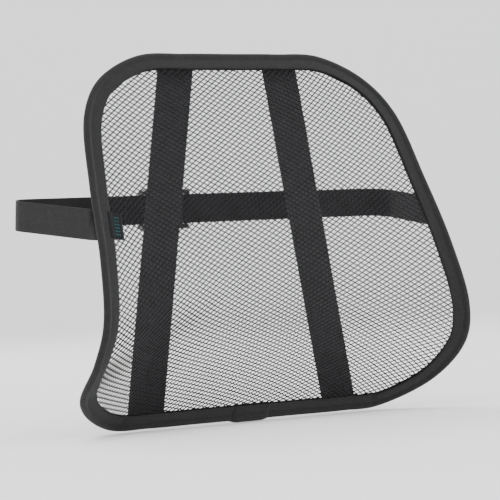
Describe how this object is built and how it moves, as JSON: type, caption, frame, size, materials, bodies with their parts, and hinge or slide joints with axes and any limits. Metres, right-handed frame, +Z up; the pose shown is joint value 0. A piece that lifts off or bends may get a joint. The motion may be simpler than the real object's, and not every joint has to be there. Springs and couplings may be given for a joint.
{
  "type": "mesh lumbar support",
  "caption": "Bowed wire loop with a stretched net panel, folded edge tape, flat rear bands and a buckled elastic strap that holds it on a chair's back.",
  "frame": {"origin": "middle of the rear plane, where the flat bands lie on the front of a chair's back", "axes": "+X across the support, to the right of someone facing its front; +Y back towards the chair; +Z up"},
  "size_m": [0.4636, 0.1731, 0.3791],
  "materials": {
    "spring_steel": "drawn spring wire",
    "zinc_steel": "zinc plated, crimped",
    "binding_tape": "woven polyester tape, folded and sewn",
    "polyester_net": "open knitted net, heat set",
    "flat_band": "close woven flat band",
    "elastic_web": "ribbed woven elastic",
    "label_cloth": "woven label, plain",
    "acetal": "moulded, fine texture"
  },
  "bodies": {
    "frame": {"frame_wire": "spring_steel", "wire_joint_sleeve": "zinc_steel", "edge_binding": "binding_tape", "binding_lap": "binding_tape", "net_panel": "polyester_net", "band_left": "flat_band", "band_right": "flat_band", "side_label": "label_cloth", "strap_anchor_left": "elastic_web", "strap_anchor_right": "elastic_web"},
    "strap": {"strap_left": "elastic_web", "strap_right": "elastic_web", "buckle_socket": "acetal", "socket_fold": "elastic_web"},
    "plug": {"buckle_plug": "acetal", "plug_fold": "elastic_web"},
    "upper_prong": {"prong_upper": "acetal"},
    "lower_prong": {"prong_lower": "acetal"},
    "adjuster": {"strap_adjuster": "acetal"}
  },
  "joints": [
    {"name": "strap_swing", "type": "hinge", "parent": "frame", "child": "strap", "pos_m": [0, -0.06387, 0.017], "axis": [1, 0, 0], "range_deg": [-45, 40]},
    {"name": "buckle_release", "type": "slide", "parent": "strap", "child": "plug", "axis": [1, 0, 0], "range_m": [0, 0.03]},
    {"name": "prong_squeeze_upper", "type": "hinge", "parent": "plug", "child": "upper_prong", "pos_m": [-0.0357, 0.05842, 0.04364], "axis": [0, 0.9921, 0.1253], "range_deg": [-6, 0]},
    {"name": "prong_squeeze_lower", "type": "hinge", "parent": "plug", "child": "lower_prong", "pos_m": [-0.0357, 0.06121, 0.02161], "axis": [0, 0.9921, 0.1253], "range_deg": [0, 6]},
    {"name": "adjuster_slide", "type": "slide", "parent": "plug", "child": "adjuster", "axis": [1, 0, 0], "range_m": [-0.06, 0]}
  ],
  "couplings": [
    {"joint": "prong_squeeze_lower", "follows": "prong_squeeze_upper", "ratio": -1}
  ]
}
